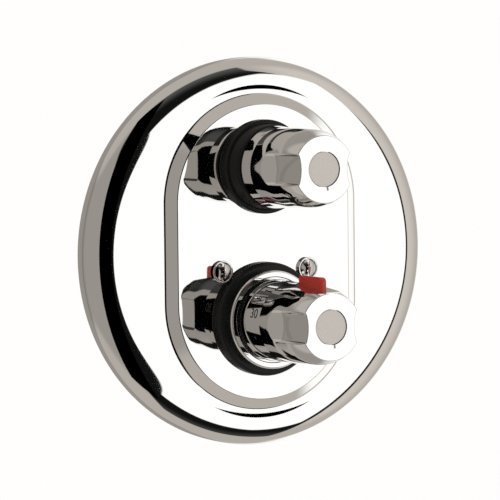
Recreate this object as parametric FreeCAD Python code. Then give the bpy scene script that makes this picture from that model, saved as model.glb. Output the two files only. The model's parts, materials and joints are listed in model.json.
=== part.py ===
"""Thermostatic shower valve for a wall recess: trim, two handles, cartridges and brass body.

Millimetres. +Z up, the visible side faces -Y, and the origin is the centre of the round
plate on the finished wall. Depths are given as "out", the distance from the finished wall
towards the user, so a point that is 20 out lies at y = -20, and the body that is sunk in
the wall has negative values.
"""
import FreeCAD
import Part
import math
import os

# Round plate with its raised platform
PLATE_DIAMETER = 220.0
PLATE_SHEET = 1.5
RIM_WALL = 5.3            # straight height of the rim above the wall
RIM_ROLL_RISE = 6.2      # height of the rolled edge above that
RIM_ROLL_RUN = 17.0       # width of the rolled edge, seen from the front
PLATFORM_RADIUS = 61.3    # foot of the slope round each end
PLATFORM_SPACING = 56.0   # between the centres of its two ends
PLATFORM_RISE = 3.7
PLATFORM_RUN = 6.0
PLATFORM_FOOT_BEND = 2.5
PLATFORM_TOP_BEND = 1.2
GASKET_WIDTH = 3.2
GASKET_DEPTH = 5.0

# Handle axes
HANDLE_SPACING = 86.0
HANDLE_MIDDLE = 5.2       # the pair sits this far above the plate's centre

# Knobs
UPPER_KNOB_BACK = 30.6
UPPER_KNOB_FACE = 82.4
LOWER_KNOB_BACK = 28.4
LOWER_KNOB_FACE = 88.5
KNOB_BASE_RADIUS = 23.1
KNOB_WAIST_RADIUS = 22.4
KNOB_BULGE_RADIUS = 22.5
KNOB_FACE_RADIUS = 18.6
UPPER_BASE_LENGTH = 9.0
LOWER_BASE_LENGTH = 19.5  # long enough for the temperature scale
KNOB_FOOT_BEVEL = 0.7
KNOB_SHOULDER = ((0.35, 0.0), (0.54, 0.4), (0.82, 1.4))   # share of length, drop from the bulge
KNOB_FACE_LEAN = 25.0     # degrees from the axis, where the shoulder meets the face
KNOB_FACE_BEND = 0.5
KNOB_CAVITY_RADIUS = 19.9
KNOB_CAVITY_FRONT = 49.4
UPPER_SCALLOP_BACK = 58.4
LOWER_SCALLOP_BACK = 64.2
SCALLOP_ROOT = 16.2       # from the axis to the bottom of a finger scallop, at its back
SCALLOP_HALF_WIDTH = 8.9
SCALLOP_WAIST = 14.8      # the same, at the knob's face
SCALLOP_END_LEAN = 43.0   # degrees from the knob's axis, of the wall behind it
SCALLOP_HOLLOW = 24.7     # radius of its concave bottom
SCALLOP_BEND = 2.5
CAP_RADIUS = 9.6
CAP_THICKNESS = 2.2
CAP_INSET = 0.4
CAP_GAP = 0.35
NOTCH_WIDTH = 1.3
NOTCH_LENGTH = 1.9
NOTCH_DEPTH = 1.0
NOTCH_ANGLE = 10.0
KNOB_WEB = 3.0            # metal between the screw's head and the adapter
KNOB_SCREW_SHANK = 2.0
KNOB_SCREW_HEAD = 4.0
KNOB_SCREW_HEAD_HEIGHT = 2.6
KNOB_SCREW_LENGTH = 16.0
KNOB_SCREW_SOCKET = 1.5
HEAD_RECESS_RADIUS = 4.8
HEAD_RECESS_DEPTH = 3.2
ADAPTER_RADIUS = 7.0
ADAPTER_FLAT = 6.0
SPINDLE_RADIUS = 4.0
SPINDLE_FLAT = 3.2
ADAPTER_CAP = 2.0

# Safety button in the lower knob
BUTTON_BACK = 56.0
BUTTON_FRONT = 81.0
BUTTON_WIDTH = 3.6
BUTTON_RISE = 4.2         # above the knob's widest part
BUTTON_BEND = 1.0
BUTTON_NOSE = 2.5
BUTTON_BOTTOM = 14.9
BUTTON_FOOT_WIDTH = 5.4
BUTTON_FOOT_HEIGHT = 1.4
BUTTON_FLOOR = 12.0
POCKET_FLOOR = 18.4       # flat in front of the button, above the knob's axis
POCKET_SLANT = 4.0        # fall of its floor along the button
BUTTON_SPRING_FLOOR = 9.4
BUTTON_SPRING_RADIUS = 1.3
BUTTON_SPRING_WIRE = 0.25
BUTTON_SPRING_CURLS = 4

# Rubber seals, chrome collar ring and stop ring
SEAL_BORE = 19.75
UPPER_SEAL_RADIUS = 26.6
UPPER_SEAL_RIM = 4.0
UPPER_NECK_FOOT = 24.6
UPPER_NECK_TOP = 22.6
UPPER_RIB_RADIUS = 23.6
UPPER_RIB_START = 3.6      # both behind the seal's top
UPPER_RIB_END = 1.2
UPPER_RIB_BEND = 0.8
UPPER_SEAL_TOP = 30.0
LOWER_SEAL_RADIUS = 32.2
LOWER_SEAL_RIM = 5.2
SEAL_BEND = 1.4
LOWER_SEAL_BEND = 2.0
COLLAR_RADIUS = 27.8
COLLAR_HEIGHT = 5.9
COLLAR_BORE = 24.0
COLLAR_FLOOR = 2.0
COLLAR_BEND = 1.2
STOP_RING_RADIUS = 22.0
STOP_RING_TOP = 27.9

# Sleeves between the body and the knobs
SLEEVE_RADIUS = 19.6
SLEEVE_WALL = 1.6
SLEEVE_REACH = 6.0        # how far a sleeve stands into its knob

# Plate screws in their cups, and the posts that they reach
SCREW_SPACING = 55.2
SCREW_Z = -10.3
CUP_RADIUS = 6.4
CUP_HEIGHT = 1.9
CUP_WALL = 1.0
CUP_FLOOR = 0.6
CUP_BEND = 0.4
SCREW_HEAD_RADIUS = 4.7
SCREW_HEAD_RIM = 1.0
SCREW_HEAD_DOME = 1.2
SCREW_SLOT = 1.1
SCREW_SLOT_DEPTH = 1.1
SCREW_SHANK = 2.0
SCREW_LENGTH = 26.0
POST_RADIUS = 4.0
POST_TOP = 6.4

# Ceramic headwork behind the upper knob
BODY_FRONT = -8.0
HEADWORK_RADIUS = 12.0
HEADWORK_CAVITY = 9.8
HEADWORK_SEAT = -28.0
HEADWORK_CEILING = -11.0
HEADWORK_GROOVE = 14.2
HEADWORK_WINDOW = 3.2
FLANGE_HEIGHT = 3.0
HEX_SIZE = 30.0
HEX_HEIGHT = 8.0
NECK_RADIUS = 8.0
NECK_TOP = 26.4
DISC_RADIUS = 9.5
DISC_THICKNESS = 3.0
DISC_PORT = 2.8
DISC_PORT_OFFSET = 4.6
SEAT_SEAL_THICKNESS = 3.0
SEAT_SEAL_BORE = 7.6
FOOT_HALF_LENGTH = 9.0
FOOT_HALF_WIDTH = 2.3
DRIVE_PIN = 1.2
DRIVE_PIN_OFFSET = 7.6
DRIVE_PIN_DEPTH = 2.0
SHAFT_RING_OUT = 12.0
SHAFT_RING_GROOVE = 2.8
SHAFT_RING_SECTION = 0.6
FLANGE_RING_SECTION = 0.85

# Thermostatic cartridge behind the lower knob
CARTRIDGE_RADIUS = 15.0
CARTRIDGE_BORE = 12.0
CARTRIDGE_BACK = -56.0
CARTRIDGE_FLOOR = 3.0
CARTRIDGE_FLOOR_HOLE = 6.5
CARTRIDGE_TOP = -14.0
NUT_THREAD_RADIUS = 16.0
NUT_TUBE_RADIUS = 11.7
NUT_TUBE_BACK = -20.0
NUT_CAVITY = 7.8
NUT_CEILING = -6.0
KEY_WIDTH = 2.4
KEY_REACH = 9.2
KEY_BACK = -19.0
KEY_FRONT = -11.0
SETTING_NUT_RADIUS = 7.5
SETTING_NUT_BACK = -21.0
SETTING_NUT_FRONT = -10.0
OVERLOAD_CHAMBER = 6.0
OVERLOAD_LEDGE = -16.0
OVERLOAD_SPRING_RADIUS = 4.9
OVERLOAD_SPRING_WIRE = 0.45
OVERLOAD_SPRING_CURLS = 2
STEM_HEAD_RADIUS = 5.6
STEM_HEAD_TOP = -20.0
STEM_HEAD_HEIGHT = 1.2
STEM_RADIUS = 2.0
ELEMENT_RADIUS = 5.5
ELEMENT_FLANGE_RADIUS = 7.4
ELEMENT_FLANGE_TOP = -27.0
ELEMENT_FLANGE_HEIGHT = 1.5
ELEMENT_BACK = -51.0
SPOOL_FRONT = -25.4
SPOOL_BACK = -34.6
SPOOL_RING_BORE = 10.2
SPOOL_HUB_RADIUS = 7.5
SPOOL_WEB = 3.0
SPOOL_HOLE = 1.0
RETURN_SPRING_RADIUS = 8.9
RETURN_SPRING_WIRE = 0.6
RETURN_SPRING_CURLS = 7
SETTING_SPINDLE_BACK = -14.5
SETTING_COLLAR_RADIUS = 6.0
SETTING_COLLAR_HEIGHT = 2.0
HOUSING_RING_OUTS = (-18.0, -30.0, -42.5)
HOUSING_RING_GROOVE = 13.9
HOUSING_RING_SECTION = 0.6
HOUSING_RING_WIDTH = 2.0
COLD_OUT = -24.0
HOT_OUT = -36.0
MIXED_OUT = -49.0
SIDE_WINDOW = 2.6
MIXED_WINDOW = 3.5
BODY_GROOVE = 17.2

# Concealed brass body
UPPER_BOSS_RADIUS = 20.5
UPPER_BOSS_BACK = -56.0
LOWER_BOSS_RADIUS = 22.5
LOWER_BOSS_BACK = -62.0
BOSS_BEND = 2.0
BRIDGE_HALF_WIDTH = 12.0
BRIDGE_BACK = -55.0
BRIDGE_FRONT = -14.0
PORT_RADIUS = 13.0
PORT_BORE = 9.4
PORT_RIM_LENGTH = 10.0
PORT_RIM_RADIUS = 14.5
PIPE_RADIUS = 9.9         # mean radius of a half-inch pipe thread
PIPE_DEPTH = 10.0
INLET_OUT = -30.0
INLET_END = 72.0
INLET_SHOULDER = 35.0
INLET_NARROW = 8.0
INLET_BOTTOM = 31.0
OUTLET_OUT = -26.0
OUTLET_END = 46.0         # above the upper axis
OUTLET_BOTTOM = 26.0
OUTLET_PASSAGE = 4.5
OUTLET_PASSAGE_OUT = -17.0
MIXED_PASSAGE = 4.5
CROSSBAR_HALF_WIDTH = 48.0
CROSSBAR_HALF_HEIGHT = 7.5
CROSSBAR_BACK = -15.0
LUG_SPACING = 84.0
LUG_HOLE = 2.75

# Non-return valves and strainers, as distances from the lower axis along each inlet
GUIDE_THICKNESS = 2.5
GUIDE_HOLE = 1.6
GUIDE_HOLE_OFFSET = 5.2
POPPET_BACK = 43.5
POPPET_THICKNESS = 2.5
POPPET_RADIUS = 7.0
POPPET_STEM = 1.6
POPPET_STEM_END = 34.0
SEAT_LENGTH = 6.0
SEAT_BORE = 5.5
CHECK_SPRING_RADIUS = 3.4
CHECK_SPRING_WIRE = 0.4
CHECK_SPRING_CURLS = 3
STRAINER_RADIUS = 6.5
STRAINER_WALL = 0.8
STRAINER_FLANGE = 1.2
STRAINER_HOLE = 0.9
STRAINER_ROWS = 3
STRAINER_COLUMNS = 8

# Fits
RUNNING = 0.05            # radial clearance of a shaft in its bearing
SEATED = 0.15             # radial clearance of a part that is fixed in its place
LOOSE = 0.3               # gap between surfaces that pass each other

PLATE_RADIUS = PLATE_DIAMETER / 2
PLATE_FACE = RIM_WALL + RIM_ROLL_RISE
PLATFORM_TOP = PLATE_FACE + PLATFORM_RISE
UPPER_Z = HANDLE_MIDDLE + HANDLE_SPACING / 2
LOWER_Z = HANDLE_MIDDLE - HANDLE_SPACING / 2
CAP_RECESS = CAP_THICKNESS + CAP_INSET
BUTTON_TOP = KNOB_BULGE_RADIUS + BUTTON_RISE
STRAINER_END = INLET_END - PIPE_DEPTH
SEAT_START = POPPET_BACK + POPPET_THICKNESS + RUNNING
SEAT_END = SEAT_START + SEAT_LENGTH
BEYOND = 2.0              # how far a cutting shape runs past the surface that it opens
OUTWARD = FreeCAD.Vector(0, -1, 0)
INWARD = FreeCAD.Vector(0, 1, 0)
UP = FreeCAD.Vector(0, 0, 1)
RIGHT = FreeCAD.Vector(1, 0, 0)
ON_PLANE = 1e-4           # how near a face lies to a plane that it is said to be on
spring_gaps = {}


# ---------------------------------------------------------------- drawing helpers

def bent_outline(points, bends):
    """Edges of the closed outline through points, its corners rounded by bends {index: radius}."""
    corners = []
    for index, corner in enumerate(points):
        before = points[index - 1] - corner
        after = points[(index + 1) % len(points)] - corner
        bend = bends.get(index, 0.0)
        if not bend:
            corners.append((corner, None, corner))
            continue
        half_angle = before.getAngle(after) / 2
        reach = bend / math.tan(half_angle)
        before.normalize()
        after.normalize()
        middle_way = (before + after).normalize()
        middle = corner + middle_way * (bend / math.sin(half_angle) - bend)
        corners.append((corner + before * reach, middle, corner + after * reach))
    edges = []
    for index, (start, middle, end) in enumerate(corners):
        if middle is not None:
            edges.append(Part.Arc(start, middle, end).toShape())
        following = corners[(index + 1) % len(corners)][0]
        if (following - end).Length > 1e-6:
            edges.append(Part.LineSegment(end, following).toShape())
    return edges


def turned_edges(edges, axis_z=0.0):
    face = Part.Face(Part.Wire(edges))
    return face.revolve(FreeCAD.Vector(0, 0, axis_z), INWARD, 360)


def turned(points, axis_z=0.0, bends=None):
    """Solid of revolution about a handle axis from (radius, out) points."""
    places = [FreeCAD.Vector(radius, -out, axis_z) for radius, out in points]
    return turned_edges(bent_outline(places, bends or {}), axis_z)


def rod(radius, back, front, axis_z=0.0, axis_x=0.0):
    """Cylinder along a handle axis, between two values of out."""
    place = FreeCAD.Vector(axis_x, -back, axis_z)
    return Part.makeCylinder(radius, front - back, place, OUTWARD)


def tube(outer, inner, back, front, axis_z=0.0, axis_x=0.0):
    return rod(outer, back, front, axis_z, axis_x).cut(rod(inner, back, front, axis_z, axis_x))


def side_rod(radius, start, end, axis_z, out):
    """Cylinder along X between two values of x."""
    place = FreeCAD.Vector(min(start, end), -out, axis_z)
    return Part.makeCylinder(radius, abs(end - start), place, RIGHT)


def side_tube(outer, inner, start, end, axis_z, out):
    return side_rod(outer, start, end, axis_z, out).cut(side_rod(inner, start, end, axis_z, out))


def upright_rod(radius, bottom, top, out, axis_x=0.0):
    return Part.makeCylinder(radius, top - bottom, FreeCAD.Vector(axis_x, -out, bottom), UP)


def block(left, right, back, front, bottom, top):
    corner = FreeCAD.Vector(left, -front, bottom)
    return Part.makeBox(right - left, front - back, top - bottom, corner)


def hexagon(across_flats, back, front, axis_z):
    corner_radius = across_flats / math.sqrt(3)
    corners = []
    for index in range(7):
        angle = math.radians(60 * index)
        across = corner_radius * math.sin(angle)
        rise = corner_radius * math.cos(angle)
        corners.append(FreeCAD.Vector(across, -back, axis_z + rise))
    return Part.Face(Part.makePolygon(corners)).extrude(OUTWARD * (front - back))


def o_ring(centre_radius, section, out, axis_z):
    return Part.makeTorus(centre_radius, section, FreeCAD.Vector(0, -out, axis_z), INWARD)


def joined(first, *others):
    return first.fuse(list(others)).removeSplitter()


def without(shape, *cutters):
    return shape.cut(list(cutters))


def flatted_rod(radius, flat, back, front, axis_z):
    """Round bar with one flat on its right side."""
    bar = rod(radius, back, front, axis_z)
    return bar.cut(block(flat, radius + BEYOND, back, front, axis_z - radius, axis_z + radius))


def biarc(start, start_way, end, end_way):
    """Two arcs that meet smoothly, leaving start and reaching end along the given unit ways."""
    chord = end - start
    both = start_way + end_way
    square = 2 * (1 - start_way.dot(end_way))
    linear = 2 * chord.dot(both)
    reach = (math.sqrt(linear ** 2 + 4 * square * chord.dot(chord)) - linear) / (2 * square)
    first_apex = start + start_way * reach
    second_apex = end - end_way * reach
    joint = (first_apex + second_apex) * 0.5
    arcs = []
    for low, apex, high in ((start, first_apex, joint), (joint, second_apex, end)):
        middle = (low + high) * 0.5
        half = (high - low).Length / 2
        height = (apex - middle).Length
        crown = middle + (apex - middle) * (half * (reach - half) / height ** 2)
        arcs.append(Part.Arc(low, crown, high).toShape())
    return arcs


def coil_spring(name, radius, wire, length, curls, base, axis):
    """One unbroken wire of the given radius, wound about axis from base over length."""
    side = RIGHT if abs(axis.x) < 0.5 else UP
    other = axis.cross(side)
    pitch = (length - 2 * wire) / curls
    places = []
    ways = []
    for step in range(4 * curls + 1):
        angle = math.pi / 2 * step
        spoke = side * math.cos(angle) + other * math.sin(angle)
        along = other * math.cos(angle) - side * math.sin(angle)
        places.append(base + axis * (wire + pitch * step / 4) + spoke * radius)
        ways.append((along * (2 * math.pi * radius) + axis * pitch).normalize())
    edges = []
    for step in range(4 * curls):
        edges += biarc(places[step], ways[step], places[step + 1], ways[step + 1])
    circle = Part.Wire(Part.makeCircle(wire, places[0], ways[0]))
    slope = 2 * math.pi * radius / math.hypot(2 * math.pi * radius, pitch)
    spring_gaps[name] = pitch * slope - 2 * wire
    return Part.Wire(edges).makePipeShell([circle], True, False)


# ---------------------------------------------------------------- plate and its fixings

def rim_disc(inset):
    """Round plate without its platform, drawn in by inset all round."""
    radius = PLATE_RADIUS - inset
    roll_centre = PLATE_RADIUS - RIM_ROLL_RUN
    face = PLATE_FACE - inset
    floor = -inset
    ellipse = Part.Ellipse(FreeCAD.Vector(roll_centre, -RIM_WALL, 0), RIM_ROLL_RUN - inset,
                           RIM_ROLL_RISE - inset)
    edges = [Part.ArcOfEllipse(ellipse, 1.5 * math.pi, 2 * math.pi).toShape()]
    places = [(radius, RIM_WALL), (radius, floor), (0, floor), (0, face), (roll_centre, face)]
    places = [FreeCAD.Vector(across, -out, 0) for across, out in places]
    for start, end in zip(places, places[1:]):
        edges.append(Part.LineSegment(start, end).toShape())
    return turned_edges(edges)


def platform(inset):
    """Raised racetrack on the plate, drawn in by inset all round."""
    slope = math.atan2(PLATFORM_RISE, PLATFORM_RUN)
    foot = PLATFORM_RADIUS - inset * math.tan(slope / 2)
    shoulder = foot - PLATFORM_RUN
    skirt = foot + 2 * PLATFORM_FOOT_BEND
    face = PLATE_FACE - inset
    top = PLATFORM_TOP - inset
    root = face - PLATE_SHEET / 2
    foot_bend = PLATFORM_FOOT_BEND + inset
    top_bend = max(PLATFORM_TOP_BEND - inset, 0.0)
    half = PLATFORM_SPACING / 2
    section = [(0.0, root), (skirt, root), (skirt, face), (foot, face), (shoulder, top),
               (0.0, top)]
    bends = {3: foot_bend, 4: top_bend}
    ends = [turned(section, half, bends), turned(section, -half, bends)]
    outline = [(-skirt, root), (skirt, root), (skirt, face), (foot, face), (shoulder, top),
               (-shoulder, top), (-foot, face), (-skirt, face)]
    places = [FreeCAD.Vector(across, -out, -half) for across, out in outline]
    bends = {3: foot_bend, 4: top_bend, 5: top_bend, 6: foot_bend}
    middle = Part.Face(Part.Wire(bent_outline(places, bends)))
    return joined(middle.extrude(UP * PLATFORM_SPACING), *ends)


def screw_sides():
    return (-SCREW_SPACING / 2, SCREW_SPACING / 2)


def escutcheon_plate():
    outside = joined(rim_disc(0.0), platform(0.0))
    inside = joined(rim_disc(PLATE_SHEET), platform(PLATE_SHEET))
    hole_radius = SLEEVE_RADIUS + 2 * PLATE_SHEET
    cutters = [inside]
    for axis_z in (UPPER_Z, LOWER_Z):
        cutters.append(rod(hole_radius, 0, PLATFORM_TOP + BEYOND, axis_z))
    for side in screw_sides():
        cutters.append(rod(SCREW_SHANK + LOOSE, 0, PLATFORM_TOP + BEYOND, SCREW_Z, side))
    return without(outside, *cutters)


def wall_gasket():
    outer = PLATE_RADIUS - PLATE_SHEET - SEATED
    return tube(outer, outer - GASKET_WIDTH, 0, GASKET_DEPTH)


def screw_cups():
    """Pair of round cups under the heads of the plate screws."""
    cups = []
    for side in screw_sides():
        top = PLATFORM_TOP + CUP_HEIGHT
        floor = PLATFORM_TOP + CUP_FLOOR
        section = [(SCREW_SHANK + LOOSE, PLATFORM_TOP), (CUP_RADIUS, PLATFORM_TOP),
                   (CUP_RADIUS, top), (CUP_RADIUS - CUP_WALL, top),
                   (SCREW_HEAD_RADIUS + SEATED, floor), (SCREW_SHANK + LOOSE, floor)]
        cup = turned(section, 0.0, {2: CUP_BEND, 3: CUP_BEND})
        cup.translate(FreeCAD.Vector(side, 0, SCREW_Z))
        cups.append(cup)
    return Part.makeCompound(cups)


def plate_screws():
    """Pair of slotted screws with low domed heads."""
    screws = []
    seat = PLATFORM_TOP + CUP_FLOOR
    rim = seat + SCREW_HEAD_RIM
    top = rim + SCREW_HEAD_DOME
    sphere = (SCREW_HEAD_RADIUS ** 2 + SCREW_HEAD_DOME ** 2) / (2 * SCREW_HEAD_DOME)
    for side in screw_sides():
        start = FreeCAD.Vector(SCREW_HEAD_RADIUS, -rim, 0)
        half = SCREW_HEAD_RADIUS / 2
        fall = sphere - math.sqrt(sphere ** 2 - half ** 2)
        middle = FreeCAD.Vector(half, fall - top, 0)
        end = FreeCAD.Vector(0, -top, 0)
        places = [end, FreeCAD.Vector(0, -seat, 0), FreeCAD.Vector(SCREW_HEAD_RADIUS, -seat, 0),
                  start]
        edges = [Part.Arc(start, middle, end).toShape()]
        for first, second in zip(places, places[1:]):
            edges.append(Part.LineSegment(first, second).toShape())
        head = turned_edges(edges)
        slot = block(-SCREW_SLOT / 2, SCREW_SLOT / 2, top - SCREW_SLOT_DEPTH, top + BEYOND,
                     -SCREW_HEAD_RADIUS - BEYOND, SCREW_HEAD_RADIUS + BEYOND)
        shank = rod(SCREW_SHANK, seat - SCREW_LENGTH, seat)
        screw = joined(head, shank).cut(slot)
        screw.translate(FreeCAD.Vector(side, 0, SCREW_Z))
        screws.append(screw)
    return Part.makeCompound(screws)


def screw_posts():
    """Pair of threaded posts that stand on the body's crossbar."""
    posts = []
    for side in screw_sides():
        posts.append(tube(POST_RADIUS, SCREW_SHANK + RUNNING, CROSSBAR_BACK, POST_TOP, SCREW_Z,
                          side))
    return Part.makeCompound(posts)


def upper_seal_ring():
    """Rubber ring on the platform with a ribbed neck up to the knob."""
    rim_top = PLATFORM_TOP + UPPER_SEAL_RIM
    rib_foot = UPPER_SEAL_TOP - UPPER_RIB_START
    rib_top = UPPER_SEAL_TOP - UPPER_RIB_END
    section = [(SEAL_BORE, PLATFORM_TOP), (UPPER_SEAL_RADIUS, PLATFORM_TOP),
               (UPPER_SEAL_RADIUS, rim_top), (UPPER_NECK_FOOT, rim_top),
               (UPPER_NECK_TOP, rib_foot), (UPPER_RIB_RADIUS, rib_foot),
               (UPPER_RIB_RADIUS, rib_top), (UPPER_NECK_TOP, rib_top),
               (UPPER_NECK_TOP, UPPER_SEAL_TOP), (SEAL_BORE, UPPER_SEAL_TOP)]
    return turned(section, UPPER_Z, {2: SEAL_BEND, 5: UPPER_RIB_BEND,
                                    6: UPPER_RIB_BEND})


def lower_seal_ring():
    top = PLATFORM_TOP + LOWER_SEAL_RIM
    section = [(SEAL_BORE, PLATFORM_TOP), (LOWER_SEAL_RADIUS, PLATFORM_TOP),
               (LOWER_SEAL_RADIUS, top), (SEAL_BORE, top)]
    return turned(section, LOWER_Z, {2: LOWER_SEAL_BEND})


def lower_collar_ring():
    """Chrome ring on the lower seal, open at the top round the knob's foot."""
    floor = PLATFORM_TOP + LOWER_SEAL_RIM
    top = floor + COLLAR_HEIGHT
    inner = STOP_RING_RADIUS + SEATED
    section = [(inner, floor), (COLLAR_RADIUS, floor), (COLLAR_RADIUS, top), (COLLAR_BORE, top),
               (COLLAR_BORE, floor + COLLAR_FLOOR), (inner, floor + COLLAR_FLOOR)]
    return turned(section, LOWER_Z, {2: COLLAR_BEND, 3: COLLAR_BEND / 2})


def stop_ring():
    return tube(STOP_RING_RADIUS, SEAL_BORE, PLATFORM_TOP + LOWER_SEAL_RIM, STOP_RING_TOP,
                LOWER_Z)


def sleeve(axis_z, knob_back):
    return tube(SLEEVE_RADIUS, SLEEVE_RADIUS - SLEEVE_WALL, BODY_FRONT, knob_back + SLEEVE_REACH,
                axis_z)


# ---------------------------------------------------------------- knobs

def knob_barrel(back, face, base_length, axis_z):
    """Barrel shape with a flared foot and shoulders that fall to a flat round face."""
    waist = back + base_length
    length = face - waist
    shape_points = [(KNOB_WAIST_RADIUS, waist)]
    for share, drop in KNOB_SHOULDER:
        shape_points.append((KNOB_BULGE_RADIUS - drop, waist + share * length))
    shape_points.append((KNOB_FACE_RADIUS, face))
    places = [FreeCAD.Vector(radius, -out, axis_z) for radius, out in shape_points]
    curve = Part.BSplineCurve()
    curve.interpolate(Points=places, InitialTangent=OUTWARD,
                      FinalTangent=FreeCAD.Vector(-math.tan(math.radians(KNOB_FACE_LEAN)), -1, 0))
    foot = [(KNOB_FACE_RADIUS, face), (0.0, face), (0.0, back),
            (KNOB_BASE_RADIUS - KNOB_FOOT_BEVEL, back),
            (KNOB_BASE_RADIUS, back + KNOB_FOOT_BEVEL), (KNOB_WAIST_RADIUS, waist)]
    places = [FreeCAD.Vector(radius, -out, axis_z) for radius, out in foot]
    edges = [curve.toShape()]
    for start, end in zip(places, places[1:]):
        edges.append(Part.LineSegment(start, end).toShape())
    return turned_edges(edges, axis_z)


def scallop(back, face, axis_z, side):
    """Cutter for one finger scallop, on the right (side 1) or left (side -1) of a knob.

    One profile is drawn in the plane of the scallop's back. It is run forwards with a little
    lean towards the knob's axis, and backwards with a strong lean away from it.
    """
    outer = KNOB_BASE_RADIUS + 4 * BEYOND
    width = SCALLOP_HALF_WIDTH
    centre_x = SCALLOP_ROOT + SCALLOP_HOLLOW
    reach = SCALLOP_HOLLOW - SCALLOP_BEND
    bend_z = width - SCALLOP_BEND
    bend_x = centre_x - math.sqrt(reach ** 2 - bend_z ** 2)
    lean = math.atan2(bend_z, centre_x - bend_x)

    def place(across, rise):
        return FreeCAD.Vector(side * across, -back, axis_z + rise)

    def floor_point(angle):
        return place(centre_x - SCALLOP_HOLLOW * math.cos(angle),
                     SCALLOP_HOLLOW * math.sin(angle))

    def bend_point(angle):
        return place(bend_x - SCALLOP_BEND * math.cos(angle),
                     bend_z + SCALLOP_BEND * math.sin(angle))

    middle_angle = (lean + math.pi / 2) / 2
    floor_arc = Part.Arc(floor_point(-lean), floor_point(0), floor_point(lean)).toShape()
    bend_arc = Part.Arc(floor_point(lean), bend_point(middle_angle), place(bend_x, width)).toShape()
    wall = Part.LineSegment(place(bend_x, width), place(outer, width)).toShape()
    centre = FreeCAD.Vector(0, 0, axis_z)
    edges = [bend_arc.mirror(centre, UP), floor_arc, bend_arc, wall,
             Part.LineSegment(place(outer, width), place(outer, -width)).toShape(),
             wall.mirror(centre, UP)]
    profile = Part.Face(Part.Wire(Part.sortEdges(edges)[0]))
    run_length = face + BEYOND - back
    drift = (SCALLOP_WAIST - SCALLOP_ROOT) * run_length / (face - back)
    run = profile.extrude(OUTWARD * run_length + RIGHT * (side * drift))
    end_rise = outer - SCALLOP_ROOT
    end_length = end_rise / math.tan(math.radians(SCALLOP_END_LEAN))
    end = profile.extrude(INWARD * end_length + RIGHT * (side * end_rise))
    return joined(run, end)


def knob_core(back, face, axis_z):
    """Everything that is cut out of a knob on its own axis, from back to front."""
    web_back = face - CAP_RECESS - HEAD_RECESS_DEPTH - KNOB_WEB
    recess = rod(CAP_RADIUS + CAP_GAP, face - CAP_RECESS, face + BEYOND, axis_z)
    head_recess = rod(HEAD_RECESS_RADIUS, web_back + KNOB_WEB, face, axis_z)
    screw_hole = rod(KNOB_SCREW_SHANK + LOOSE, web_back - BEYOND, face, axis_z)
    socket = flatted_rod(ADAPTER_RADIUS + RUNNING, ADAPTER_FLAT + RUNNING, KNOB_CAVITY_FRONT,
                         web_back, axis_z)
    cavity = rod(KNOB_CAVITY_RADIUS, back, KNOB_CAVITY_FRONT, axis_z)
    notch = block(-NOTCH_WIDTH / 2, NOTCH_WIDTH / 2, face - NOTCH_DEPTH, face + BEYOND,
                  -CAP_RADIUS - CAP_GAP - NOTCH_LENGTH, -CAP_RADIUS)
    notch.rotate(FreeCAD.Vector(0, 0, 0), INWARD, -NOTCH_ANGLE)
    notch.translate(FreeCAD.Vector(0, 0, axis_z))
    return [recess, head_recess, screw_hole, socket, cavity, notch]


def softened(shape, face, radius):
    """Round the sharp outline of a knob's face."""
    for side in shape.Faces:
        box = side.BoundBox
        if box.YLength < ON_PLANE and abs(box.YMin + face) < ON_PLANE:
            return shape.makeFillet(radius, side.OuterWire.Edges)


def upper_knob():
    barrel = knob_barrel(UPPER_KNOB_BACK, UPPER_KNOB_FACE, UPPER_BASE_LENGTH, UPPER_Z)
    cutters = knob_core(UPPER_KNOB_BACK, UPPER_KNOB_FACE, UPPER_Z)
    scallops = [scallop(UPPER_SCALLOP_BACK, UPPER_KNOB_FACE, UPPER_Z, side) for side in (1, -1)]
    knob = softened(without(barrel, *scallops), UPPER_KNOB_FACE, KNOB_FACE_BEND)
    return without(knob, *cutters)


def button_pocket():
    """Slanted flat on top of the lower knob with the button's slot, chamber and spring hole."""
    outer = KNOB_BASE_RADIUS + BEYOND
    half = BUTTON_WIDTH / 2 + RUNNING
    foot_half = BUTTON_FOOT_WIDTH / 2 + SEATED
    floor = LOWER_Z + POCKET_FLOOR
    top = LOWER_Z + outer
    back = BUTTON_BACK - RUNNING
    front = BUTTON_FRONT + RUNNING
    foot_top = LOWER_Z + BUTTON_BOTTOM + BUTTON_FOOT_HEIGHT + 2 * RUNNING
    slant = POCKET_SLANT / (BUTTON_FRONT - BUTTON_BACK)
    start = BUTTON_BACK - BEYOND
    end = LOWER_KNOB_FACE + BEYOND
    outline = [(start, floor + slant * (BUTTON_FRONT - start)), (BUTTON_FRONT, floor),
               (end, floor), (end, top), (start, top)]
    places = [FreeCAD.Vector(-outer, -out, height) for out, height in outline]
    flat = Part.Face(Part.makePolygon(places + places[:1])).extrude(RIGHT * (2 * outer))
    slot = block(-half, half, back, front, LOWER_Z + BUTTON_FLOOR, top)
    chamber = block(-foot_half, foot_half, KNOB_CAVITY_FRONT - BEYOND, front,
                    LOWER_Z + BUTTON_FLOOR, foot_top)
    spring_hole = upright_rod(BUTTON_SPRING_RADIUS + BUTTON_SPRING_WIRE + LOOSE,
                              LOWER_Z + BUTTON_SPRING_FLOOR, LOWER_Z + BUTTON_FLOOR,
                              (BUTTON_BACK + BUTTON_FRONT) / 2)
    return [flat, slot, chamber, spring_hole]


def lower_knob():
    barrel = knob_barrel(LOWER_KNOB_BACK, LOWER_KNOB_FACE, LOWER_BASE_LENGTH, LOWER_Z)
    scallops = [scallop(LOWER_SCALLOP_BACK, LOWER_KNOB_FACE, LOWER_Z, side) for side in (1, -1)]
    knob = softened(without(barrel, *scallops), LOWER_KNOB_FACE, KNOB_FACE_BEND)
    cutters = knob_core(LOWER_KNOB_BACK, LOWER_KNOB_FACE, LOWER_Z) + button_pocket()
    return without(knob, *cutters)


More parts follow.
